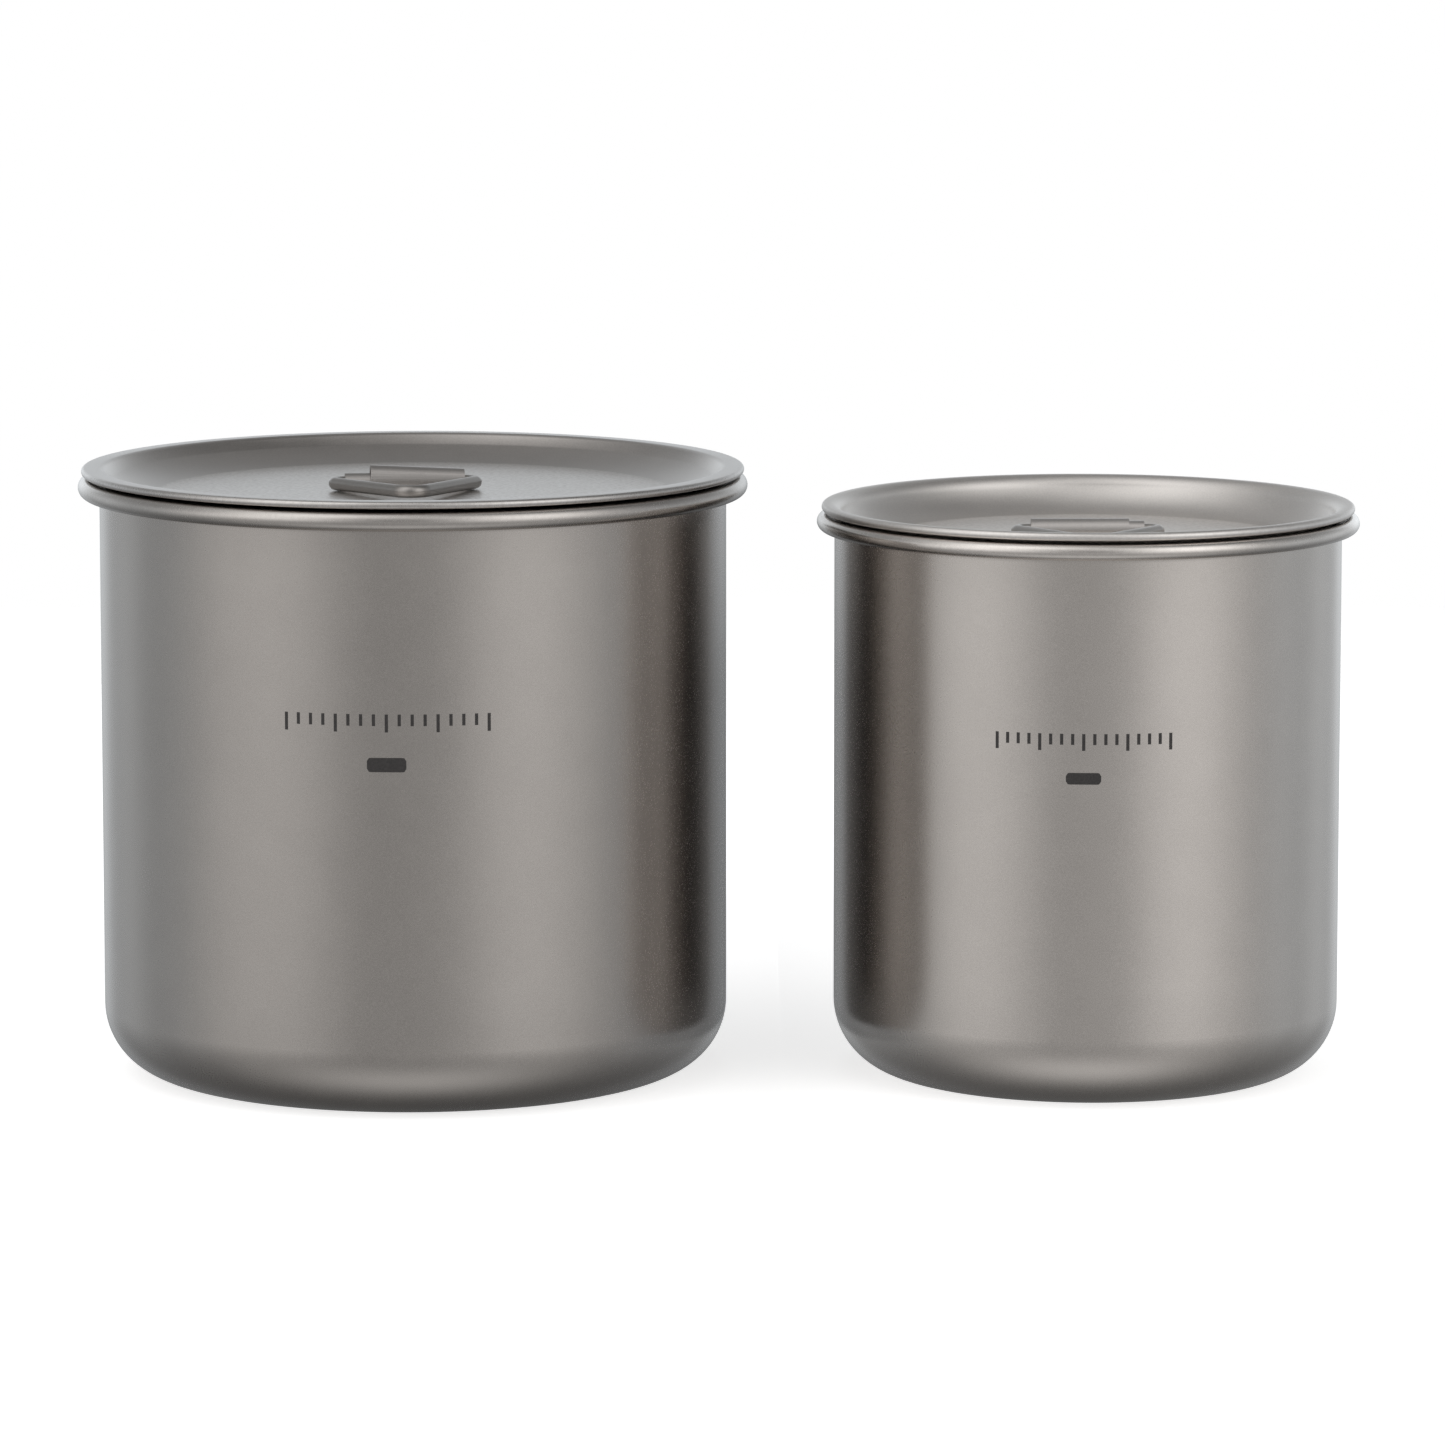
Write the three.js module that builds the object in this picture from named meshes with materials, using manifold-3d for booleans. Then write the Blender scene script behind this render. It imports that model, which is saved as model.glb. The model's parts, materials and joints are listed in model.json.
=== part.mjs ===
// Set of two lidded cooking pots, drawn and pressed from thin titanium sheet.
// Units are millimetres and +Z is up. The pots stand on z = 0, side by side along X.
import * as THREE from 'three';
import { mergeVertices } from 'three/addons/utils/BufferGeometryUtils.js';
import Module from 'manifold-3d';

const wasm = await Module();
wasm.setup();

// ---- Driving dimensions ----

const ROUND_STEPS = 40; // facets around each pot and lid
const SEAT_GAP = 0.1; // between a welded clip and its lid

const LARGE = {
  centre: [-48, 0],
  pot: { radius: 49.2, sheet: 0.5, baseCorner: 11, beadRadius: 52.6, beadTop: 94.35, beadSize: 3 },
  lid: {
    radius: 52.1, top: 95.9, sheet: 0.45, edge: 1.15, hem: 2.2,
    panelTop: 91.9, panelRadius: 40, coveRadius: 12.2, coveAngle: 37, wallAngle: 46, shoulder: 1.3,
  },
  handle: { place: [-1.4, 1.5], yaw: 6, ringTilt: 1.7 },
  clip: { width: 18.8, plyStart: -5.4, plyEnd: 9.4, plyLift: [0.9, 0.15] },
};

const SMALL = {
  centre: [58, -2.1],
  pot: { radius: 39.8, sheet: 0.5, baseCorner: 11.5, beadRadius: 42.6, beadTop: 88.5, beadSize: 2.5 },
  lid: {
    radius: 41.9, top: 90.2, sheet: 0.45, edge: 1.3, hem: 1.6,
    panelTop: 84.5, panelRadius: 32.7, coveRadius: 6.5, coveAngle: 69, wallAngle: 70, shoulder: 2.2,
  },
  handle: { place: [0, 1.5], yaw: 0, ringTilt: 1.7 },
  clip: { width: 17.8, plyStart: -8.9, plyEnd: 6.5, plyLift: [0, 0] },
};

// The two handles are the same wire ring in the same strap.
const WIRE = 2; // wire diameter
const BAR_HEIGHT = 1.15; // bar centre above the lid's panel
const RING_WIDTH = 22.1; // between the centre lines of the two base corners
const RING_CORNER = 60; // angle between the bar and each side, in degrees
const BASE_BEND = 1.6; // centre-line bend radius beside the bar
const APEX_BEND = 2.5; // centre-line bend radius at the apex
const WIRE_END_GAP = 0.4; // the wire's two ends meet inside the clip
const STRAP = 0.35; // clip sheet
const STRAP_CLEARANCE = 0.15; // around the bar
const STRAP_LIP = 218; // where the knuckle's front lip ends, in degrees over the bar from the back
const PLY_LIP = 202; // the same for the second ply
const PLY_SINK = 0.05; // how deep the second ply is fused into the knuckle
const FOOT = 4.5; // flat welded foot behind the knuckle
const FOOT_BEND = 0.4; // middle radius of the bend between foot and knuckle

// Every pot's rim: how far the wall leans out before it rolls over, and where the roll's cut edge ends,
// in degrees below the bead's outermost point.
const FLARE_ANGLE = 45;
const CURL_END = 150;

// ---- Materials ----

const titanium = (color, roughness) => new THREE.MeshStandardMaterial({ color, roughness, metalness: 1 });
const blastedTitanium = titanium(0x8b8784, 0.45);
const lidTitanium = titanium(0x9a9794, 0.4);
const clipTitanium = titanium(0x8f8b88, 0.4);
const wireTitanium = titanium(0x85817e, 0.35);

// ---- Profiles ----

const radians = THREE.MathUtils.degToRad;

// Points along a circular arc in a profile plane, both ends included. Angles are in degrees.
function arc(centreX, centreY, radius, from, to, steps) {
  return Array.from({ length: steps + 1 }, (_, i) => {
    const angle = radians(from + ((to - from) * i) / steps);
    return new THREE.Vector2(centreX + radius * Math.cos(angle), centreY + radius * Math.sin(angle));
  });
}

// Outline of a sheet of even thickness around its middle line.
function sheetOutline(midline, thickness) {
  const right = [];
  const left = [];
  midline.forEach((point, i) => {
    const before = midline[Math.max(i - 1, 0)];
    const after = midline[Math.min(i + 1, midline.length - 1)];
    const incoming = point.clone().sub(before).normalize();
    const outgoing = after.clone().sub(point).normalize();
    const along = incoming.add(outgoing).normalize();
    const normal = new THREE.Vector2(along.y, -along.x);
    right.push(point.clone().addScaledVector(normal, thickness / 2));
    left.push(point.clone().addScaledVector(normal, -thickness / 2));
  });
  return [...right, ...left.reverse()];
}

// Solid of revolution about Z from an (r, z) outline that starts and ends on the axis.
function turned(outline) {
  return new THREE.LatheGeometry(outline, ROUND_STEPS).rotateX(Math.PI / 2);
}

// ---- Pots ----

// Cup with a rounded base corner. The wall flares at the top and rolls outwards into an open bead.
function potGeometry({ radius, sheet, baseCorner, beadRadius, beadTop, beadSize }) {
  const half = sheet / 2;
  const wall = radius - half;
  const corner = baseCorner - half;
  const curl = (beadSize - sheet) / 2;
  const beadX = beadRadius - beadSize / 2;
  const beadZ = beadTop - beadSize / 2;
  const turn = radians(FLARE_ANGLE);
  const curlStartX = beadX - curl * Math.cos(turn);
  const curlStartZ = beadZ + curl * Math.sin(turn);
  const flare = (curlStartX - wall) / (1 - Math.cos(turn));
  const flareZ = curlStartZ - flare * Math.sin(turn);
  const midline = [
    new THREE.Vector2(0, half),
    ...arc(wall - corner, half + corner, corner, -90, 0, 5),
    ...arc(wall + flare, flareZ, flare, 180, 180 - FLARE_ANGLE, 2),
    ...arc(beadX, beadZ, curl, 180 - FLARE_ANGLE, -CURL_END, 7).slice(1),
  ];
  return turned(sheetOutline(midline, sheet));
}

// ---- Lids ----

// Pressed disc: flat panel, hollow cove, wall, rounded shoulder, flat flange and a hem folded under.
function lidGeometry(lid) {
  const half = lid.sheet / 2;
  const panelZ = lid.panelTop - half;
  const flangeZ = lid.top - half;
  const cove = radians(lid.coveAngle);
  const wall = radians(lid.wallAngle);
  const shoulder = lid.shoulder - half;
  const creaseX = lid.panelRadius + lid.coveRadius * Math.sin(cove);
  const creaseZ = panelZ + lid.coveRadius * (1 - Math.cos(cove));
  const shoulderZ = flangeZ - shoulder * (1 - Math.cos(wall));
  const shoulderX = creaseX + (shoulderZ - creaseZ) / Math.tan(wall) + shoulder * Math.sin(wall);
  const fold = (lid.edge - lid.sheet) / 2;
  const foldX = lid.radius - half - fold;
  const midline = [
    new THREE.Vector2(0, panelZ),
    ...arc(lid.panelRadius, panelZ + lid.coveRadius, lid.coveRadius, -90, lid.coveAngle - 90, 3),
    ...arc(shoulderX, flangeZ - shoulder, shoulder, 90 + lid.wallAngle, 90, 2),
    ...arc(foldX, flangeZ - fold, fold, 90, -90, 3),
    new THREE.Vector2(foldX - lid.hem, flangeZ - 2 * fold),
  ];
  return turned(sheetOutline(midline, lid.sheet));
}

// ---- Ring handles ----

// Centre line of the ring in its own plane: the bar lies along X and the apex points to -Y.
class RingLine extends THREE.Curve {
  constructor() {
    super();
    const corner = radians(RING_CORNER);
    const baseTangent = BASE_BEND / Math.tan(corner / 2);
    const halfBase = RING_WIDTH / 2 - BASE_BEND + baseTangent;
    const apexY = -halfBase * Math.tan(corner);
    const straight = halfBase - baseTangent;
    const arcAngle = Math.PI / 2 + corner;
    this.path = new THREE.Path();
    this.path.moveTo(WIRE_END_GAP / 2, 0);
    this.path.lineTo(straight, 0);
    this.path.absarc(straight, -BASE_BEND, BASE_BEND, Math.PI / 2, Math.PI / 2 - (Math.PI - corner), true);
    const apexCentreY = apexY + APEX_BEND / Math.cos(corner);
    this.path.absarc(0, apexCentreY, APEX_BEND, arcAngle - Math.PI, -arcAngle, true);
    this.path.absarc(-straight, -BASE_BEND, BASE_BEND, -arcAngle, -arcAngle - (Math.PI - corner), true);
    this.path.lineTo(-WIRE_END_GAP / 2, 0);
  }

  getPoint(t, target = new THREE.Vector3()) {
    const point = this.path.getPoint(t);
    return target.set(point.x, point.y, 0);
  }
}

function ringGeometry() {
  const section = new THREE.Shape().absarc(0, 0, WIRE / 2, 0, 2 * Math.PI);
  const sweep = { steps: 60, curveSegments: 5, extrudePath: new RingLine() };
  return new THREE.ExtrudeGeometry(section, sweep);
}

// ---- Clips ----

// Closed solid for boolean work, from any closed geometry.
function toManifold(geometry) {
  const bare = geometry.clone();
  bare.deleteAttribute('normal');
  bare.deleteAttribute('uv');
  const merged = mergeVertices(bare, 1e-4);
  const vertProperties = Float32Array.from(merged.attributes.position.array);
  const triVerts = Uint32Array.from(merged.index.array);
  return new wasm.Manifold(new wasm.Mesh({ numProp: 3, vertProperties, triVerts }));
}

function fromManifold(solid) {
  const mesh = solid.getMesh();
  const geometry = new THREE.BufferGeometry();
  geometry.setAttribute('position', new THREE.BufferAttribute(mesh.vertProperties, 3));
  geometry.setIndex(new THREE.BufferAttribute(mesh.triVerts, 1));
  geometry.computeVertexNormals();
  return geometry;
}

// A (y, z) outline drawn out along X between two stations.
function drawnAlongX(outline, from, to) {
  const options = { depth: to - from, bevelEnabled: false };
  const geometry = new THREE.ExtrudeGeometry(new THREE.Shape(outline), options);
  const yzToXyz = new THREE.Matrix4().makeBasis(
    new THREE.Vector3(0, 1, 0),
    new THREE.Vector3(0, 0, 1),
    new THREE.Vector3(1, 0, 0),
  );
  return geometry.applyMatrix4(yzToXyz).translate(from, 0, 0);
}

// Strap with a flat foot behind, rolled over the bar into a knuckle.
function knuckleOutline() {
  const roll = WIRE / 2 + STRAP_CLEARANCE + STRAP / 2;
  const footZ = SEAT_GAP + STRAP / 2;
  const midline = [
    new THREE.Vector2(roll + FOOT_BEND + FOOT, footZ),
    ...arc(roll + FOOT_BEND, footZ + FOOT_BEND, FOOT_BEND, 270, 180, 3),
    ...arc(0, BAR_HEIGHT, roll, 0, STRAP_LIP, 9),
  ];
  return sheetOutline(midline, STRAP);
}

// Second ply over the knuckle.
function plyOutline() {
  const roll = WIRE / 2 + STRAP_CLEARANCE + 1.5 * STRAP - PLY_SINK;
  return sheetOutline(arc(0, BAR_HEIGHT, roll, 0, PLY_LIP, 8), STRAP);
}

// The knuckle is as wide as the clip. The ply is narrower, and its crown may stand off at each end.
function clipGeometry({ width, plyStart, plyEnd, plyLift }) {
  const knuckle = drawnAlongX(knuckleOutline(), -width / 2, width / 2);
  const ply = drawnAlongX(plyOutline(), plyStart, plyEnd);
  const position = ply.attributes.position;
  for (let i = 0; i < position.count; i += 1) {
    const along = (position.getX(i) - plyStart) / (plyEnd - plyStart);
    const lift = THREE.MathUtils.lerp(plyLift[0], plyLift[1], along);
    const crown = THREE.MathUtils.clamp((position.getZ(i) - BAR_HEIGHT) / (WIRE / 2), 0, 1);
    position.setZ(i, position.getZ(i) + lift * crown);
  }
  return fromManifold(toManifold(knuckle).add(toManifold(ply)));
}

// ---- Assembly ----

function piece(name, geometry, material) {
  const mesh = new THREE.Mesh(geometry, material);
  mesh.name = name;
  return mesh;
}

function lidHandle(prefix, { handle, clip, lid }) {
  const group = new THREE.Group();
  const ring = piece(`${prefix}_lid_ring`, ringGeometry(), wireTitanium);
  ring.position.z = BAR_HEIGHT;
  ring.rotation.x = -radians(handle.ringTilt);
  group.add(piece(`${prefix}_lid_clip`, clipGeometry(clip), clipTitanium), ring);
  group.position.set(...handle.place, lid.panelTop);
  group.rotation.z = radians(handle.yaw);
  return group;
}

function liddedPot(prefix, size) {
  const group = new THREE.Group();
  group.add(
    piece(`${prefix}_pot`, potGeometry(size.pot), blastedTitanium),
    piece(`${prefix}_lid`, lidGeometry(size.lid), lidTitanium),
    lidHandle(prefix, size),
  );
  group.position.set(...size.centre, 0);
  return group;
}

const potSet = new THREE.Group();
potSet.add(liddedPot('large', LARGE), liddedPot('small', SMALL));

export default potSet;
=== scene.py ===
"""Looks for a set of two lidded cooking pots of thin titanium sheet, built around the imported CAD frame."""
import json
import math

import bmesh
import bpy
from mathutils import Matrix, Vector


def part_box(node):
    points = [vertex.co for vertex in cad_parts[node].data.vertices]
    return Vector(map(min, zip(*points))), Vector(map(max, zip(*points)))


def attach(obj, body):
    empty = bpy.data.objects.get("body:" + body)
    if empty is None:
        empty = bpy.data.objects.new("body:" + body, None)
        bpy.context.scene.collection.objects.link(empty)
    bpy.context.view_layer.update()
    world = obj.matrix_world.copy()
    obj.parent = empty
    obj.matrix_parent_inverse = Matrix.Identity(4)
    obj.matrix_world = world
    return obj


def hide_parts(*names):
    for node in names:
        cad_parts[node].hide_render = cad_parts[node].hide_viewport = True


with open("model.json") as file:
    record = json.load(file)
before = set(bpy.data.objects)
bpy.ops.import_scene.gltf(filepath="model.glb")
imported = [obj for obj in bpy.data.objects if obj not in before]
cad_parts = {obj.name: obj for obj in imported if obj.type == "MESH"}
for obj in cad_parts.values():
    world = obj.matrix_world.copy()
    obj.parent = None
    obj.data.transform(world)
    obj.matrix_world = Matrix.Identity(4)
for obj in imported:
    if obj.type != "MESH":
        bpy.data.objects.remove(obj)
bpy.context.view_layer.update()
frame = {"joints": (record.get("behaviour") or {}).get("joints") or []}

MM = 0.001

# ---- Driving dimensions, in millimetres and degrees ----

POTS = {
    "large": dict(radius=49.2, sheet=0.5, base_corner=11, bead_size=3),
    "small": dict(radius=39.8, sheet=0.5, base_corner=11.5, bead_size=2.5),
}
FLARE_ANGLE = 45  # how far the wall leans out before it rolls over
CURL_END = 150  # the roll's cut edge, turned down from the bead's outermost point

LIDS = {
    "large": dict(
        sheet=0.45, edge=1.15, hem=2.2, dish=4.0, shoulder=1.3,
        panel_radius=40, cone_width=7.3, cone_height=2.45, cone_bulge=8.5, wall_angle=46,
    ),
    "small": dict(
        sheet=0.45, edge=1.3, hem=1.6, dish=5.7, shoulder=2.2,
        panel_radius=32.7, cone_width=6.1, cone_height=4.15, cone_bulge=25, wall_angle=70,
    ),
}

WIRE = 2.0
BAR_HEIGHT = 1.15  # bar centre above the lid's panel
RING_WIDTH = 22.1
RING_CORNER = 60  # angle between the bar and each side
BASE_BEND = 1.6
APEX_BEND = 2.5
WIRE_END_GAP = 0.4
RING_TILT = 1.7  # how far the ring dips towards its apex

CLIPS = {
    "large": dict(width=18.8, ply_start=-5.4, ply_end=9.4, ply_lift=(0.9, 0.15)),
    "small": dict(width=17.8, ply_start=-8.9, ply_end=6.5, ply_lift=(0.0, 0.0)),
}
STRAP = 0.35
STRAP_CLEARANCE = 0.15
STRAP_LIP = 218  # how far the strap reaches round the bar, from behind
PLY_LIP = 202
PLY_GAP = 0.02  # hairline between the two plies
STRAP_SEAT = 0.02  # hairline between the welded foot and the panel
FOOT = 4.5
FOOT_BEND = 0.4
STRAP_EDGE = 0.07  # rounding of the strap's cut edges
WELD_RADIUS = 1.0

# Etched marks: a ruler-like row of ticks over a solid bar, as arc lengths and heights on the wall.
# middle is measured along the wall from the front, to the right.
MARKS = {
    "large": dict(middle=-2.3, row=31.4, row_height=(60.5, 63.25), bar=6.0, bar_height=(54.4, 56.6)),
    "small": dict(middle=-2.3, row=27.0, row_height=(56.6, 59.2), bar=5.4, bar_height=(51.4, 53.2)),
}
TICKS = 17
TICK_WIDTH = 0.5
SHORT_TICK = 0.65  # share of the row's height that the minor ticks take
BAR_CORNER = 0.5
PLATE_STEP = 0.3  # length of one face of a mark along the wall
ETCH_PROUD = 0.015
ETCH_SUNK = 0.06

# How far handling has rubbed each place bright, from 0 to 1.
BEAD_WEAR = 0.35
BASE_WEAR = 0.25
BASE_WEAR_HEIGHT = 2.5
LID_EDGE_WEAR = 0.5
WIRE_WEAR = 0.35
CLIP_WEAR = 0.3

ROUND_SEGMENTS = 224


# ---- Profiles: stations are (x, z, heading in degrees) in millimetres ----


def arc(centre_x, centre_z, radius, start, end, steps):
    quarter = math.copysign(90, end - start)
    stations = []
    for i in range(steps + 1):
        angle = start + (end - start) * i / steps
        turn = math.radians(angle)
        x = centre_x + radius * math.cos(turn)
        z = centre_z + radius * math.sin(turn)
        stations.append((x, z, angle + quarter))
    return stations


def beside(station, distance):
    """The point that lies this far to the right of a station."""
    x, z, heading = station
    turn = math.radians(heading)
    return x + distance * math.sin(turn), z - distance * math.cos(turn)


def rounded_cut(station, sheet, steps=4):
    """Half-round end of a sheet, from its right side to its left."""
    x, z, heading = station
    return [(px, pz) for px, pz, _ in arc(x, z, sheet / 2, heading - 90, heading + 90, steps)]


def sheet_outline(midline, sheet, cut_start=False):
    """Closed outline of a sheet round its middle line. The end is cut round, and the start too if asked."""
    right = [beside(station, sheet / 2) for station in midline]
    left = [beside(station, -sheet / 2) for station in midline]
    outline = right[:-1] + rounded_cut(midline[-1], sheet) + left[-2::-1]
    if cut_start:
        x, z, heading = midline[0]
        outline = outline[1:-1] + rounded_cut((x, z, heading + 180), sheet)
    return outline


# ---- Mesh helpers ----


def add_object(name, bm, sharp_angle=35):
    """Object from a bmesh in millimetres, with smooth faces and sharp creases."""
    bmesh.ops.recalc_face_normals(bm, faces=bm.faces)
    bmesh.ops.scale(bm, vec=(MM, MM, MM), verts=bm.verts)
    mesh = bpy.data.meshes.new(name)
    bm.to_mesh(mesh)
    bm.free()
    mesh.polygons.foreach_set("use_smooth", [True] * len(mesh.polygons))
    mesh.set_sharp_from_angle(angle=math.radians(sharp_angle))
    piece = bpy.data.objects.new(name, mesh)
    bpy.context.scene.collection.objects.link(piece)
    return piece


def stitch(bm, first, second, closed=True):
    """Faces between two rows of vertices. A row of one vertex is a pole."""
    count = max(len(first), len(second))
    for i in range(count if closed else count - 1):
        j = (i + 1) % count
        near = [first[k % len(first)] for k in (i, j)]
        far = [second[k % len(second)] for k in (j, i)]
        bm.faces.new(list(dict.fromkeys(near + far)))


def turn_outline(bm, outline, centre, segments=ROUND_SEGMENTS):
    """Solid of revolution about the vertical through centre, from an (r, z) outline that meets the axis."""
    rows = []
    for radius, z in outline:
        count = segments if radius > 1e-6 else 1
        row = []
        for i in range(count):
            angle = 2 * math.pi * i / count
            x = centre.x + radius * math.cos(angle)
            y = centre.y + radius * math.sin(angle)
            row.append(bm.verts.new((x, y, z)))
        rows.append(row)
    for first, second in zip(rows, rows[1:]):
        stitch(bm, first, second)


def sweep(bm, path, radius, sides):
    """Round bar along an open path in a horizontal plane, with flat ends."""
    rows = []
    up = Vector((0, 0, 1))
    for i, point in enumerate(path):
        ahead = path[min(i + 1, len(path) - 1)] - path[max(i - 1, 0)]
        side = ahead.normalized().cross(up)
        row = []
        for k in range(sides):
            angle = 2 * math.pi * k / sides
            row.append(bm.verts.new(point + radius * (math.cos(angle) * side + math.sin(angle) * up)))
        rows.append(row)
    for first, second in zip(rows, rows[1:]):
        stitch(bm, first, second)
    bm.faces.new(rows[0])
    bm.faces.new(rows[-1])


def draw_along_x(bm, outline, start, end):
    """A closed (y, z) outline drawn out along X, with flat ends."""
    first, last = [[bm.verts.new((x, y, z)) for y, z in outline] for x in (start, end)]
    stitch(bm, first, last)
    bm.faces.new(first)
    bm.faces.new(last)


def paint(piece, name, value_at):
    """Stores value_at(x, y, z in millimetres) on every vertex."""
    attribute = piece.data.attributes.new(name, "FLOAT", "POINT")
    values = [value_at(*(vertex.co / MM)) for vertex in piece.data.vertices]
    attribute.data.foreach_set("value", values)


def ramp(value, start, end):
    share = min(max((value - start) / (end - start), 0), 1)
    return share * share * (3 - 2 * share)


def box_mm(node):
    low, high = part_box(node)
    return low / MM, high / MM


# ---- Materials ----

# Noise scales, in cells per metre.
GRAIN_SCALE = 4200
FLECK_SCALE = 1500
CLOUD_SCALE = 160
STAIN_SCALE = 28
RING_SCALE = 1300

FLECK_SHARE = 0.3  # depth of the flecks, as a share of the grain's
GRAIN_ROUGHNESS = 0.04  # how far the roughness swings with the grain
CLOUD_ROUGHNESS = 0.008
WORN_POLISH = 0.05  # what wear takes from the roughness
MATT_ROUGHNESS = 0.12  # what coarser blasting adds to it

# Linear colours of the darkest and palest grain and of worn metal. On the lids the worn colour also covers
# the panel as a painted sheen.
WALL_COLOURS = dict(dark=(0.455, 0.425, 0.40), light=(0.56, 0.525, 0.495), wear_and_sheen=(0.66, 0.63, 0.60))
# The clip's colours are darker than the wall's as painted shade: the same titanium, darkened to stand in for
# the dimmer light on its front face.
SHADED_CLIP_COLOURS = dict(dark=(0.39, 0.37, 0.355), light=(0.47, 0.445, 0.425), wear_and_sheen=(0.53, 0.505, 0.485))
LID_COLOURS = {
    "large": dict(dark=(0.41, 0.385, 0.365), light=(0.55, 0.52, 0.495), wear_and_sheen=(0.76, 0.74, 0.72)),
    # The small lid's colours are painted paler than the large lid's, standing in for the stronger light on
    # the small set.
    "small": dict(dark=(0.64, 0.61, 0.585), light=(0.78, 0.745, 0.71), wear_and_sheen=(0.92, 0.89, 0.86)),
}
PAINTED_LIGHT_TONES = {"large": 1.0, "small": 1.3}  # painted light: the small set's pot, clip and wire colours are painted brighter, standing in for the stronger light on it
WIRE_SHADE = 0.66  # painted shade: the ring's wire is a darker copy of the wall's colours, standing in for the shade on it
ETCH_COLOURS = ((0.040, 0.037, 0.037), (0.075, 0.070, 0.068))

POT_FINISH = dict(roughness=0.25, grain_depth=0.003, turning=0.001)
LID_FINISHES = {
    "large": dict(roughness=0.32, grain_depth=0.007, turning=0.001),
    "small": dict(roughness=0.42, grain_depth=0.007, turning=0.001),
}
CLIP_FINISH = dict(roughness=0.33, grain_depth=0.003)
WIRE_FINISH = dict(roughness=0.36, grain_depth=0.003)


class Nodes:
    """Short way to add shader nodes to one material or world."""

    def __init__(self, tree):
        self.tree = tree
        tree.nodes.clear()

    def add(self, kind, inputs=None, **settings):
        node = self.tree.nodes.new(kind)
        for name, value in settings.items():
            setattr(node, name, value)
        for key, value in (inputs or {}).items():
            if isinstance(value, bpy.types.NodeSocket):
                self.tree.links.new(value, node.inputs[key])
            else:
                node.inputs[key].default_value = value
        return node

    def noise(self, vector, scale, detail=2.0, roughness=0.5):
        inputs = {"Vector": vector, "Scale": scale, "Detail": detail, "Roughness": roughness}
        return self.add("ShaderNodeTexNoise", inputs).outputs["Fac"]

    def span(self, value, low, high, to_low, to_high):
        inputs = {"Value": value, "From Min": low, "From Max": high, "To Min": to_low, "To Max": to_high}
        return self.add("ShaderNodeMapRange", inputs, clamp=True).outputs["Result"]

    def stretch(self, noise, to_low, to_high):
        """A noise, which lies mostly between 0.3 and 0.7, stretched to a new range."""
        return self.span(noise, 0.3, 0.7, to_low, to_high)

    def math(self, operation, first, second):
        return self.add("ShaderNodeMath", {0: first, 1: second}, operation=operation).outputs[0]

    def vector(self, operation, *terms):
        node = self.add("ShaderNodeVectorMath", dict(enumerate(terms)), operation=operation)
        return node.outputs["Value" if operation in ("LENGTH", "DOT_PRODUCT") else "Vector"]

    def blend(self, factor, first, second):
        inputs = {"Factor": factor, "A": first, "B": second}
        return self.add("ShaderNodeMix", inputs, data_type="RGBA").outputs["Result"]


def new_material(name):
    material = bpy.data.materials.new(name)
    material.use_nodes = True
    return material, Nodes(material.node_tree)


def ring_noise(nodes, place, centre):
    """Noise that depends only on the distance from the vertical through centre."""
    offset = nodes.vector("SUBTRACT", place, (centre[0] * MM, centre[1] * MM, 0))
    flat = nodes.vector("MULTIPLY", offset, (1, 1, 0))
    inputs = {"W": nodes.vector("LENGTH", flat), "Scale": RING_SCALE, "Detail": 2.0}
    return nodes.add("ShaderNodeTexNoise", inputs, noise_dimensions="1D").outputs["Fac"]


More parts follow.
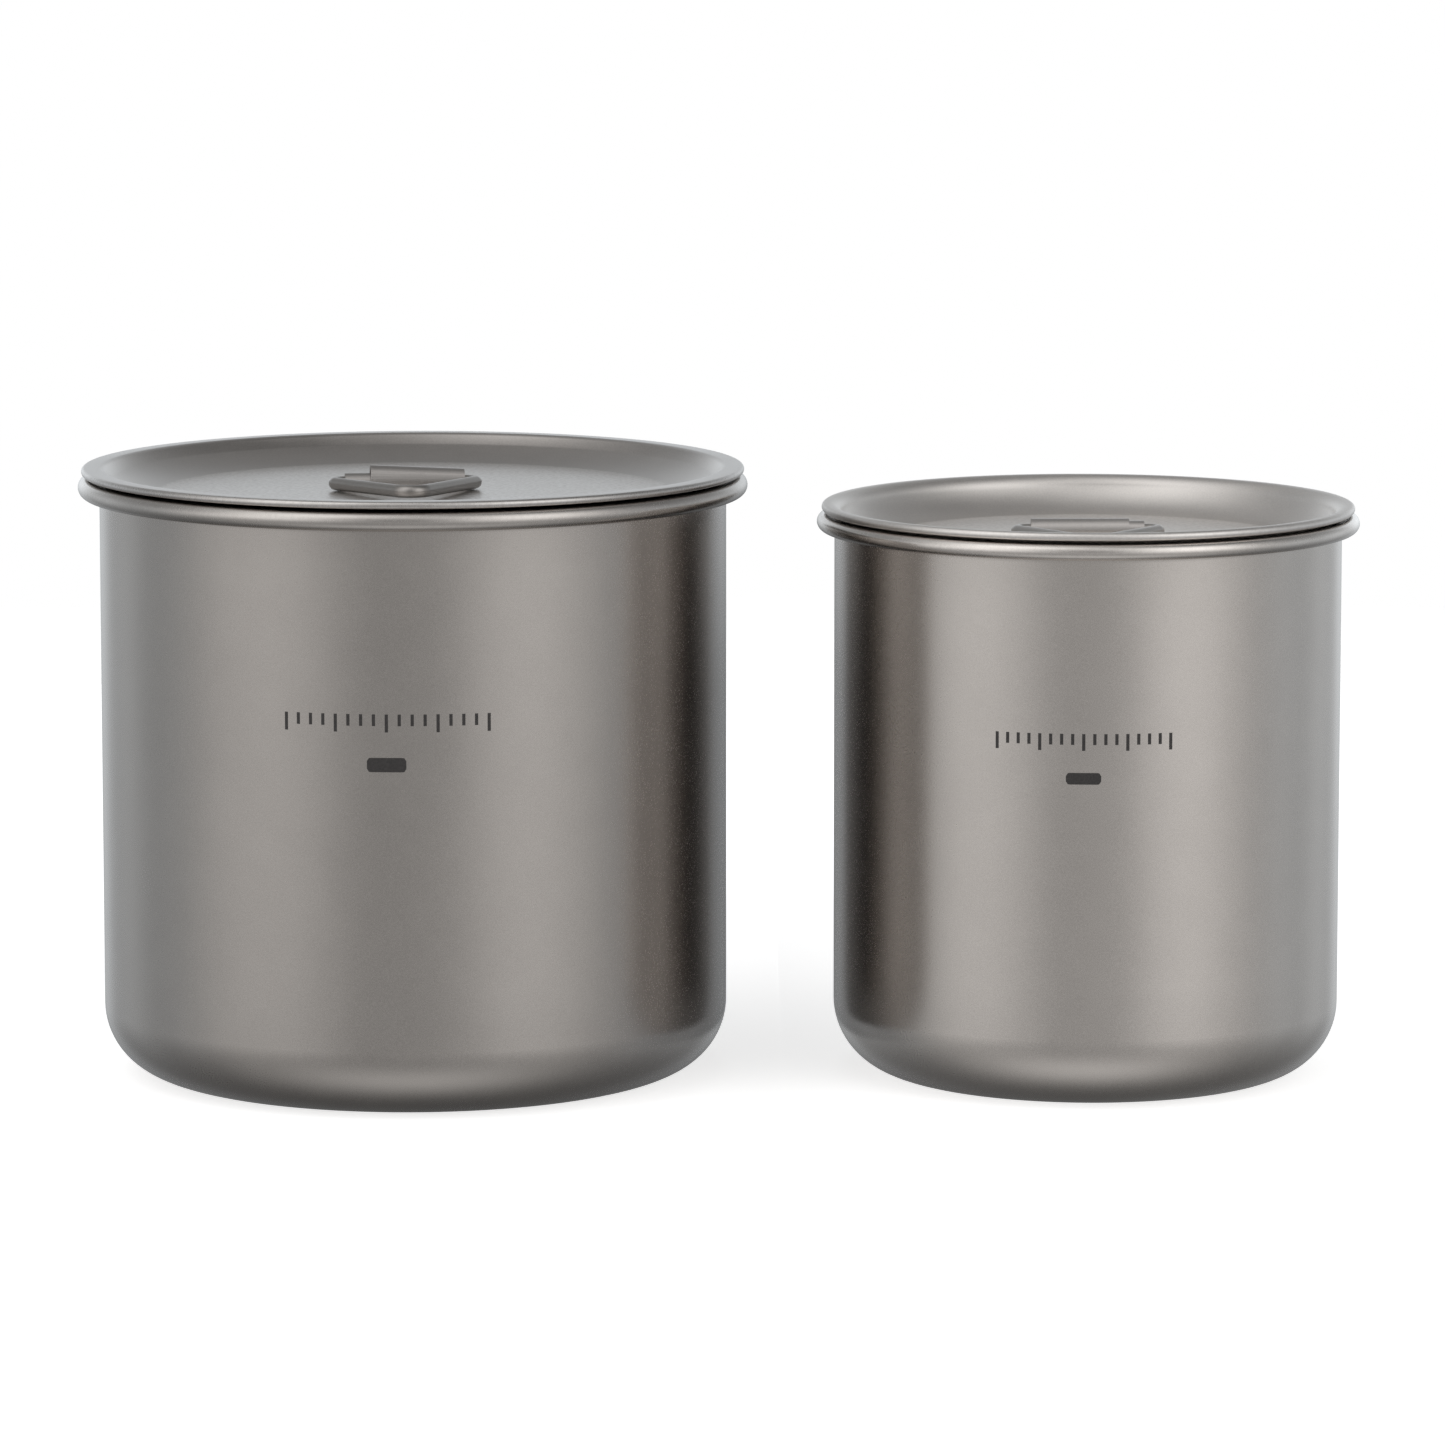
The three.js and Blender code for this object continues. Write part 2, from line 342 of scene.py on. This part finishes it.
def titanium(name, dark, light, wear_and_sheen, roughness, grain_depth, turning=0.0, centre=(0, 0)):
    """Bead-blasted sheet: grain of about a fifth of a millimetre over clouds of a few millimetres.

    The wear attribute is 1 where the metal is rubbed bright, and it also covers the lids' panels, where its
    pale colour is a painted sheen; "matt" is 1 where the blasting was coarser. turning is the depth of the
    faint rings that forming leaves around the centre.
    """
    material, nodes = new_material(name)
    place = nodes.add("ShaderNodeTexCoord").outputs["Object"]
    grain = nodes.noise(place, GRAIN_SCALE, detail=3, roughness=0.7)
    fleck = nodes.noise(place, FLECK_SCALE, detail=2, roughness=0.6)
    cloud = nodes.noise(place, CLOUD_SCALE, detail=4, roughness=0.6)
    stain = nodes.noise(place, STAIN_SCALE, detail=3, roughness=0.55)
    wear_and_sheen_here = nodes.add("ShaderNodeAttribute", attribute_name="wear_and_sheen").outputs["Fac"]
    matt_here = nodes.add("ShaderNodeAttribute", attribute_name="matt").outputs["Fac"]

    tone = nodes.math("ADD", nodes.stretch(grain, 0.0, 0.7), nodes.stretch(cloud, 0.0, 0.18))
    tone = nodes.math("ADD", tone, nodes.stretch(stain, 0.0, 0.12))
    colour = nodes.blend(tone, (*dark, 1), (*light, 1))
    # Wear blends in the pale worn colour, and so does a painted sheen across the lids' panels.
    scuff_and_sheen = nodes.math("MULTIPLY", wear_and_sheen_here, nodes.span(fleck, 0.35, 0.6, 0.55, 1.0))
    colour = nodes.blend(scuff_and_sheen, colour, (*wear_and_sheen, 1))

    grain_rough = nodes.stretch(grain, roughness - GRAIN_ROUGHNESS, roughness + GRAIN_ROUGHNESS)
    rough = nodes.math("ADD", grain_rough, nodes.stretch(cloud, -CLOUD_ROUGHNESS, CLOUD_ROUGHNESS))
    rough = nodes.math("SUBTRACT", rough, nodes.math("MULTIPLY", scuff_and_sheen, WORN_POLISH))
    rough = nodes.math("ADD", rough, nodes.math("MULTIPLY", matt_here, MATT_ROUGHNESS))

    height = nodes.math("ADD", nodes.math("MULTIPLY", grain, grain_depth * MM),
                        nodes.math("MULTIPLY", fleck, FLECK_SHARE * grain_depth * MM))
    if turning:
        rings = ring_noise(nodes, place, centre)
        height = nodes.math("ADD", height, nodes.math("MULTIPLY", rings, turning * MM))
    bump = nodes.add("ShaderNodeBump", {"Strength": 1.0, "Distance": 1.0, "Height": height})

    shader = nodes.add("ShaderNodeBsdfPrincipled", {
        "Base Color": colour, "Roughness": rough, "Normal": bump.outputs["Normal"], "Metallic": 1.0,
    }).outputs["BSDF"]
    nodes.add("ShaderNodeOutputMaterial", {"Surface": shader})
    return material


def toned(colours, tone):
    return {shade: tuple(tone * channel for channel in colour) for shade, colour in colours.items()}


def titanium_set(name):
    """The finishes of one pot, its lid, its clip and its ring."""
    low, high = box_mm(f"{name}_pot")
    centre = ((low + high) / 2)[:2]
    # Painted light: the small set's pot, clip and ring get brighter copies of the colours.
    wall_colours = toned(WALL_COLOURS, PAINTED_LIGHT_TONES[name])
    # Painted shade: the clip gets a darker copy of the titanium's colours.
    shaded_clip_colours = toned(SHADED_CLIP_COLOURS, PAINTED_LIGHT_TONES[name])
    # Painted shade: the ring's wire gets a darker copy of the wall's colours.
    shaded_wire_colours = toned(wall_colours, WIRE_SHADE)
    return (
        titanium(f"{name}_pot_blasted", centre=centre, **wall_colours, **POT_FINISH),
        titanium(f"{name}_lid_blasted", centre=centre, **LID_COLOURS[name], **LID_FINISHES[name]),
        titanium(f"{name}_clip_satin_shaded", **shaded_clip_colours, **CLIP_FINISH),
        titanium(f"{name}_wire_satin_shaded", **shaded_wire_colours, **WIRE_FINISH),
    )


def etched_titanium():
    """Laser-darkened titanium oxide: dark, matt and slightly uneven."""
    material, nodes = new_material("etched_titanium")
    place = nodes.add("ShaderNodeTexCoord").outputs["Object"]
    grain = nodes.noise(place, GRAIN_SCALE, detail=3, roughness=0.7)
    dark, light = ETCH_COLOURS
    colour = nodes.blend(nodes.stretch(grain, 0.0, 1.0), (*dark, 1), (*light, 1))
    shader = nodes.add("ShaderNodeBsdfPrincipled", {
        "Base Color": colour, "Roughness": nodes.stretch(grain, 0.5, 0.62), "Metallic": 0.4,
    }).outputs["BSDF"]
    nodes.add("ShaderNodeOutputMaterial", {"Surface": shader})
    return material


# ---- Pots ----


def pot_midline(size, radius, top):
    """Middle line of a pot's sheet: base, corner, wall, flare and the open roll of the rim."""
    half = size["sheet"] / 2
    wall = size["radius"] - half
    corner = size["base_corner"] - half
    curl = (size["bead_size"] - size["sheet"]) / 2
    bead_x = radius - size["bead_size"] / 2
    bead_z = top - size["bead_size"] / 2
    turn = math.radians(FLARE_ANGLE)
    start_x = bead_x - curl * math.cos(turn)
    start_z = bead_z + curl * math.sin(turn)
    flare = (start_x - wall) / (1 - math.cos(turn))
    flare_z = start_z - flare * math.sin(turn)
    base = [(r, half, 0) for r in (0, 3, 9, 16, 24, wall - corner - 4)]
    side = [(wall, z, 90) for z in range(20, int(flare_z) - 2, 8)]
    return (
        base
        + arc(wall - corner, half + corner, corner, -90, 0, 20)
        + side
        + arc(wall + flare, flare_z, flare, 180, 180 - FLARE_ANGLE, 12)
        + arc(bead_x, bead_z, curl, 180 - FLARE_ANGLE, -CURL_END, 36)[1:]
    )


def build_pot(name, material):
    node = f"{name}_pot"
    low, high = box_mm(node)
    centre = (low + high) / 2
    size = POTS[name]
    bm = bmesh.new()
    turn_outline(bm, sheet_outline(pot_midline(size, (high.x - low.x) / 2, high.z), size["sheet"]), centre)
    pot = add_object(f"{name}_pot_shell", bm)
    rim = high.z - size["bead_size"]

    def wear_and_sheen(x, y, z):
        reach = math.hypot(x - centre.x, y - centre.y)
        bead = ramp(reach, size["radius"] + 0.4, size["radius"] + 1.8) * ramp(z, rim - 1, rim)
        return BEAD_WEAR * bead + BASE_WEAR * (1 - ramp(z, 0, BASE_WEAR_HEIGHT))

    paint(pot, "wear_and_sheen", wear_and_sheen)
    finish_piece(pot, material, f"{name}_pot_body", "pot_titanium", node)


# ---- Etched marks ----


def wall_plate(bm, centre, radius, start, end, bottom, top, corner=0.0):
    """Thin plate that follows the wall between two arc lengths. corner rounds its four corners."""
    columns = max(2, round((end - start) / PLATE_STEP))
    inner_bottom, inner_top, outer_bottom, outer_top = [], [], [], []
    for i in range(columns + 1):
        along = start + (end - start) * i / columns
        edge = min(along - start, end - along)
        cut = 0.0
        if edge < corner:
            cut = corner - math.sqrt(max(corner**2 - (corner - edge) ** 2, 0))
        angle = along / radius - math.pi / 2
        for reach, lower, upper in (
            (radius - ETCH_SUNK, inner_bottom, inner_top),
            (radius + ETCH_PROUD, outer_bottom, outer_top),
        ):
            x = centre.x + reach * math.cos(angle)
            y = centre.y + reach * math.sin(angle)
            lower.append(bm.verts.new((x, y, bottom + cut)))
            upper.append(bm.verts.new((x, y, top - cut)))
    loop = [outer_bottom, outer_top, inner_top, inner_bottom]
    for first, second in zip(loop, loop[1:] + loop[:1]):
        stitch(bm, first, second, closed=False)
    for end_column in (0, columns):
        bm.faces.new([row[end_column] for row in loop])


def build_marks(name, material):
    low, high = box_mm(f"{name}_pot")
    centre = (low + high) / 2
    radius = POTS[name]["radius"]
    mark = MARKS[name]
    bottom, top = mark["row_height"]
    bm = bmesh.new()
    for i in range(TICKS):
        along = mark["middle"] + mark["row"] * (i / (TICKS - 1) - 0.5)
        share = 1 if i % 4 == 0 else SHORT_TICK
        lift = (top - bottom) * (1 - share)
        wall_plate(bm, centre, radius, along - TICK_WIDTH / 2, along + TICK_WIDTH / 2, bottom + lift, top)
    bar_bottom, bar_top = mark["bar_height"]
    bar_start = mark["middle"] - mark["bar"] / 2
    wall_plate(bm, centre, radius, bar_start, bar_start + mark["bar"], bar_bottom, bar_top, BAR_CORNER)
    marks = add_object(f"{name}_pot_marks", bm)
    finish_piece(marks, material, f"{name}_pot_body", "pot_titanium")


# ---- Lids ----


def lid_midline(lid, radius, top):
    """Middle line of a lid's sheet: panel, cone, crease, wall, shoulder, flange and the hem folded under.

    The cone is a shallow arc from the panel's edge to the crease. It turns by twice cone_bulge degrees.
    """
    half = lid["sheet"] / 2
    panel_z = top - lid["dish"] - half
    flange_z = top - half
    crease_x = lid["panel_radius"] + lid["cone_width"]
    crease_z = panel_z + lid["cone_height"]
    slope = math.degrees(math.atan2(lid["cone_height"], lid["cone_width"]))
    chord = math.hypot(lid["cone_height"], lid["cone_width"])
    cone_radius = chord / 2 / math.sin(math.radians(lid["cone_bulge"]))
    cone_end = math.radians(slope + lid["cone_bulge"])
    cone_x = crease_x - cone_radius * math.sin(cone_end)
    cone_z = crease_z + cone_radius * math.cos(cone_end)
    cone = (slope - lid["cone_bulge"] - 90, slope + lid["cone_bulge"] - 90)
    wall = math.radians(lid["wall_angle"])
    shoulder = lid["shoulder"] - half
    shoulder_z = flange_z - shoulder * (1 - math.cos(wall))
    shoulder_x = crease_x + (shoulder_z - crease_z) / math.tan(wall) + shoulder * math.sin(wall)
    fold = (lid["edge"] - lid["sheet"]) / 2
    fold_x = radius - half - fold
    panel_stations = (0, 3, 8, 14, 20, 26, lid["panel_radius"] - 3, lid["panel_radius"] - 0.3)
    panel = [(r, panel_z, 0) for r in panel_stations]
    return (
        panel
        + arc(cone_x, cone_z, cone_radius, *cone, 14)
        + arc(shoulder_x, flange_z - shoulder, shoulder, 90 + lid["wall_angle"], 90, 12)
        + arc(fold_x, flange_z - fold, fold, 90, -90, 12)
        + [(fold_x - lid["hem"], flange_z - 2 * fold, 180)]
    )


def build_lid(name, material):
    node = f"{name}_lid"
    low, high = box_mm(node)
    centre = (low + high) / 2
    lid = LIDS[name]
    radius = (high.x - low.x) / 2
    bm = bmesh.new()
    turn_outline(bm, sheet_outline(lid_midline(lid, radius, high.z), lid["sheet"]), centre)
    shell = add_object(f"{name}_lid_shell", bm)

    def reach(x, y):
        return math.hypot(x - centre.x, y - centre.y)

    def panel(x, y, z):
        return 1 - ramp(reach(x, y), lid["panel_radius"] - 0.2, lid["panel_radius"] + 0.6)

    # The panel's share is a painted sheen: the pale worn colour stands in for the panel's bright reflection.
    # The edge's share is wear.
    def wear_and_sheen(x, y, z):
        return LID_EDGE_WEAR * ramp(reach(x, y), radius - 0.7, radius - 0.1) + panel(x, y, z)

    paint(shell, "wear_and_sheen", wear_and_sheen)
    paint(shell, "matt", panel)
    finish_piece(shell, material, f"{name}_lid_body", "lid_titanium", node)


# ---- Ring handles ----


def ring_path():
    """Centre line of the ring in its own plane: the bar lies along X and the apex points to -Y."""
    corner = math.radians(RING_CORNER)
    base_tangent = BASE_BEND / math.tan(corner / 2)
    half_base = RING_WIDTH / 2 - BASE_BEND + base_tangent
    straight = half_base - base_tangent
    apex_y = APEX_BEND / math.cos(corner) - half_base * math.tan(corner)
    turned = 180 - RING_CORNER
    path = [(WIRE_END_GAP / 2, 0), (straight / 2, 0)]
    path += [station[:2] for station in arc(straight, -BASE_BEND, BASE_BEND, 90, 90 - turned, 16)]
    path += [station[:2] for station in arc(0, apex_y, APEX_BEND, RING_CORNER - 90, -90 - RING_CORNER, 18)]
    path += [station[:2] for station in arc(-straight, -BASE_BEND, BASE_BEND, 90 + turned, 90, 16)]
    path += [(-straight / 2, 0), (-WIRE_END_GAP / 2, 0)]
    return [Vector((x, y, 0)) for x, y in path]


def handle_place(name):
    """The bar's middle and the handle's turn about the vertical, from the ring's joint, in millimetres."""
    joint = next(j for j in frame["joints"] if j["name"] == f"{name}_ring_fold")
    along = -Vector(joint["axis"])
    yaw = math.atan2(along.y, along.x)
    return Matrix.Translation(Vector(joint["pos_m"]) / MM) @ Matrix.Rotation(yaw, 4, "Z")


def build_ring(name, material):
    bm = bmesh.new()
    sweep(bm, ring_path(), WIRE / 2, 28)
    tilt = Matrix.Rotation(-math.radians(RING_TILT), 4, "X")
    bmesh.ops.transform(bm, matrix=handle_place(name) @ tilt, verts=bm.verts)
    ring = add_object(f"{name}_lid_ring_wire", bm)
    paint(ring, "wear_and_sheen", lambda x, y, z: WIRE_WEAR)
    finish_piece(ring, material, f"{name}_ring_body", "wire_titanium", f"{name}_lid_ring")


# ---- Clips ----


def knuckle_outline():
    """Strap with a flat foot behind, rolled over the bar. The bar's centre is the origin."""
    roll = WIRE / 2 + STRAP_CLEARANCE + STRAP / 2
    foot_z = STRAP_SEAT + STRAP / 2 - BAR_HEIGHT
    bend_x = roll + FOOT_BEND
    midline = [(bend_x + FOOT, foot_z, 180), (bend_x + FOOT / 2, foot_z, 180)]
    midline += arc(bend_x, foot_z + FOOT_BEND, FOOT_BEND, 270, 180, 8)
    midline += arc(0, 0, roll, 0, STRAP_LIP, 30)
    return sheet_outline(midline, STRAP, cut_start=True)


def ply_outline():
    roll = WIRE / 2 + STRAP_CLEARANCE + 1.5 * STRAP + PLY_GAP
    return sheet_outline(arc(0, 0, roll, 0, PLY_LIP, 28), STRAP, cut_start=True)


def soften_ends(bm, start, end):
    """Rounds the strap's two cut ends."""

    def at_an_end(vertex):
        return min(abs(vertex.co.x - start), abs(vertex.co.x - end)) < 1e-4

    edges = [edge for edge in bm.edges if all(at_an_end(vertex) for vertex in edge.verts)]
    bmesh.ops.bevel(bm, geom=edges, offset=STRAP_EDGE, segments=2, affect="EDGES", clamp_overlap=True)


def add_welds(bm, width):
    """Two spot welds: shallow round dents with a thin lip, on the foot."""
    foot_top = STRAP_SEAT + STRAP - BAR_HEIGHT
    behind = WIRE / 2 + STRAP_CLEARANCE + STRAP / 2 + FOOT_BEND + FOOT / 2
    sunk = [(0, -0.1), (1, -0.1), (1, 0)]
    lip = [(0.9, 0.035), (0.75, 0.04), (0.6, 0.02)]
    dent = [(0.3, 0.006), (0, 0.004)]
    outline = [(WELD_RADIUS * share, foot_top + z) for share, z in sunk + lip + dent]
    for side in (-1, 1):
        turn_outline(bm, outline, Vector((side * width / 4, behind, 0)), segments=32)


def build_clip(name, material):
    clip = CLIPS[name]
    knuckle = bmesh.new()
    half = clip["width"] / 2
    draw_along_x(knuckle, knuckle_outline(), -half, half)
    soften_ends(knuckle, -half, half)
    add_welds(knuckle, clip["width"])

    ply = bmesh.new()
    start, end = clip["ply_start"], clip["ply_end"]
    draw_along_x(ply, ply_outline(), start, end)
    soften_ends(ply, start, end)
    for vertex in ply.verts:
        along = (vertex.co.x - start) / (end - start)
        lift = clip["ply_lift"][0] * (1 - along) + clip["ply_lift"][1] * along
        vertex.co.z += lift * min(max(vertex.co.z / (WIRE / 2), 0), 1)

    for bm, part in ((knuckle, "clip_strap"), (ply, "clip_ply")):
        bmesh.ops.transform(bm, matrix=handle_place(name), verts=bm.verts)
        piece = add_object(f"{name}_lid_{part}", bm)
        paint(piece, "wear_and_sheen", lambda x, y, z: CLIP_WEAR)
        nodes = [f"{name}_lid_clip"] if part == "clip_strap" else []
        finish_piece(piece, material, f"{name}_lid_body", "clip_titanium", *nodes)


def finish_piece(piece, material, body, slot, *nodes):
    piece.data.materials.append(material)
    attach(piece, body)
    if nodes:
        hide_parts(*nodes)


# ---- Stage ----

CAMERA_PLACE = (0.00062, -1.20708, 0.22753)
CAMERA_PITCH = 8.134  # degrees below level
CAMERA_LENS = 192.4

# Soft-edged patches of light around the object. Each name has the azimuth from the camera's side to the
# right, the elevation, the reach across and upward as sines, the radiance and the colour.
NEUTRAL = (1.0, 1.0, 1.0)
COOL = (0.94, 1.0, 1.05)
GLOWS = {
    "key_left": (-49, 20, 0.38, 0.6, 0.95, NEUTRAL),
    "key_right": (49, 20, 0.4, 0.6, 1.1, NEUTRAL),
    "high_left": (-48, 56, 0.5, 0.4, 0.75, NEUTRAL),
    "high_right": (48, 46, 0.45, 0.35, 0.55, NEUTRAL),
    "inner_left": (-26, 10, 0.3, 0.5, 0.28, NEUTRAL),
    "inner_right": (26, 10, 0.3, 0.5, 0.4, NEUTRAL),
    "outer_left": (-74, 8, 0.3, 0.5, 0.42, NEUTRAL),
    "outer_right": (74, 0, 0.28, 0.4, 0.18, NEUTRAL),
    "side_left": (-98, 0, 0.3, 0.5, 0.28, COOL),
    "side_right": (98, 0, 0.3, 0.5, 0.38, COOL),
    "rear_left": (-128, 0, 0.3, 0.5, 0.45, COOL),
    "rear_right": (128, 0, 0.3, 0.5, 0.45, COOL),
    "edge_left": (-158, 0, 0.22, 0.5, 0.5, COOL),
    "edge_right": (158, 0, 0.22, 0.5, 0.5, COOL),
    "back": (180, 7, 0.6, 0.25, 1.0, COOL),
    "back_high": (180, 42, 0.7, 0.32, 0.16, NEUTRAL),
    "top": (-90, 72, 0.5, 0.4, 0.5, NEUTRAL),
    "front": (0, -8, 0.28, 0.35, 0.22, NEUTRAL),
    "below": (0, -58, 0.9, 0.5, 0.5, NEUTRAL),
}
FILL = 0.08  # radiance between the patches
FLOOR_RADIUS = 0.6
FLOOR_GAP = 0.05  # millimetres under the pots
FLOOR_FADE = 0.35
FLOOR_ALBEDO = 0.85
FLOOR_GLOW = 0.68  # keeps the table top white to the camera
FLAG_REACH = (-0.05, 0.16)  # Y of the front and back edge of the grey scrim between the pots
FLAG_FULL = 0.01  # Y where the scrim reaches its density
FLAG_HEIGHT = 0.12
FLAG_DENSITY = 0.55


def add_camera():
    camera = bpy.data.objects.new("camera", bpy.data.cameras.new("camera"))
    camera.location = CAMERA_PLACE
    camera.rotation_euler = (math.radians(90 - CAMERA_PITCH), 0, 0)
    camera.data.lens = CAMERA_LENS
    bpy.context.scene.collection.objects.link(camera)
    bpy.context.scene.camera = camera


def add_floor():
    """White table top that fades out into the white surroundings."""
    bm = bmesh.new()
    bmesh.ops.create_circle(bm, cap_ends=True, segments=96, radius=FLOOR_RADIUS / MM)
    bmesh.ops.translate(bm, verts=bm.verts, vec=(0, 0, -FLOOR_GAP))
    floor = add_object("floor", bm)
    material, nodes = new_material("floor_white")
    place = nodes.add("ShaderNodeTexCoord").outputs["Object"]
    gone = nodes.span(nodes.vector("LENGTH", place), FLOOR_FADE, FLOOR_RADIUS, 0.0, 1.0)
    surface = nodes.add("ShaderNodeBsdfDiffuse", {"Color": (FLOOR_ALBEDO, FLOOR_ALBEDO, FLOOR_ALBEDO, 1)})
    is_camera = nodes.add("ShaderNodeLightPath").outputs["Is Camera Ray"]
    glow = nodes.add("ShaderNodeEmission", {"Strength": nodes.span(is_camera, 0, 1, 0, FLOOR_GLOW)})
    lit = nodes.add("ShaderNodeAddShader", {0: surface.outputs["BSDF"], 1: glow.outputs["Emission"]})
    clear = nodes.add("ShaderNodeBsdfTransparent")
    mixed = nodes.add("ShaderNodeMixShader", {
        "Fac": gone, 1: lit.outputs["Shader"], 2: clear.outputs["BSDF"],
    }).outputs["Shader"]
    nodes.add("ShaderNodeOutputMaterial", {"Surface": mixed})
    floor.data.materials.append(material)
    floor.visible_glossy = False
    floor.visible_shadow = False


def add_flag():
    """Grey scrim on edge between the pots, unseen by the camera. It keeps light off their facing sides."""
    middle = (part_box("large_pot")[1].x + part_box("small_pot")[0].x) / 2
    front, back = FLAG_REACH
    bm = bmesh.new()
    corners = ((front, 0), (back, 0), (back, FLAG_HEIGHT), (front, FLAG_HEIGHT))
    bm.faces.new([bm.verts.new(Vector((middle, y, z)) / MM) for y, z in corners])
    flag = add_object("flag", bm)
    material, nodes = new_material("flag_grey")
    place = nodes.add("ShaderNodeTexCoord").outputs["Object"]
    along = nodes.add("ShaderNodeSeparateXYZ", {0: place}).outputs
    density = nodes.math("MULTIPLY", nodes.span(along["Y"], front, FLAG_FULL, 0, FLAG_DENSITY),
                         nodes.span(along["Z"], FLAG_HEIGHT / 2, FLAG_HEIGHT, 1, 0))
    clear = nodes.add("ShaderNodeBsdfTransparent")
    surface = nodes.add("ShaderNodeBsdfDiffuse", {"Color": (0.01, 0.01, 0.01, 1)})
    mixed = nodes.add("ShaderNodeMixShader", {
        "Fac": density, 1: clear.outputs["BSDF"], 2: surface.outputs["BSDF"],
    }).outputs["Shader"]
    nodes.add("ShaderNodeOutputMaterial", {"Surface": mixed})
    flag.data.materials.append(material)
    flag.visible_camera = False


def bell(nodes, direction, azimuth, elevation, wide, tall):
    """1 in the middle of a patch of the surroundings, falling off smoothly on all sides."""
    around = math.radians(azimuth)
    up = math.radians(elevation)
    facing = Vector((math.sin(around) * math.cos(up), -math.cos(around) * math.cos(up), math.sin(up)))
    across = Vector((math.cos(around), math.sin(around), 0))
    upward = across.cross(facing)
    sideways = nodes.vector("DOT_PRODUCT", direction, across / wide)
    upright = nodes.vector("DOT_PRODUCT", direction, upward / tall)
    ahead = nodes.math("MAXIMUM", nodes.vector("DOT_PRODUCT", direction, facing), 0)
    squares = [nodes.math("MULTIPLY", offset, offset) for offset in (sideways, upright)]
    spread = nodes.math("ADD", *squares)
    return nodes.math("MULTIPLY", nodes.math("POWER", 1 / math.e, spread), ahead)


def add_world(glows, fill):
    """White behind the object, and a softly lit studio in its reflections."""
    world = bpy.data.worlds.new("world")
    bpy.context.scene.world = world
    world.use_nodes = True
    nodes = Nodes(world.node_tree)
    direction = nodes.add("ShaderNodeTexCoord").outputs["Generated"]
    total = (fill, fill, fill)
    for azimuth, elevation, wide, tall, radiance, colour in glows.values():
        strength = bell(nodes, direction, azimuth, elevation, wide, tall)
        patch = nodes.vector("MULTIPLY", radiance * Vector(colour), strength)
        total = nodes.vector("ADD", total, patch)
    is_camera = nodes.add("ShaderNodeLightPath").outputs["Is Camera Ray"]
    background = nodes.add("ShaderNodeBackground", {"Color": nodes.blend(is_camera, total, (1, 1, 1, 1))})
    nodes.add("ShaderNodeOutputWorld", {"Surface": background.outputs["Background"]})


# ---- Assembly ----

etched = etched_titanium()
for size_name in POTS:
    blasted_pot, blasted_lid, shaded_clip, shaded_wire = titanium_set(size_name)
    build_pot(size_name, blasted_pot)
    build_marks(size_name, etched)
    build_lid(size_name, blasted_lid)
    build_clip(size_name, shaded_clip)
    build_ring(size_name, shaded_wire)

add_floor()
add_flag()
add_world(GLOWS, FILL)
add_camera()
bpy.context.scene.view_settings.view_transform = "Standard"
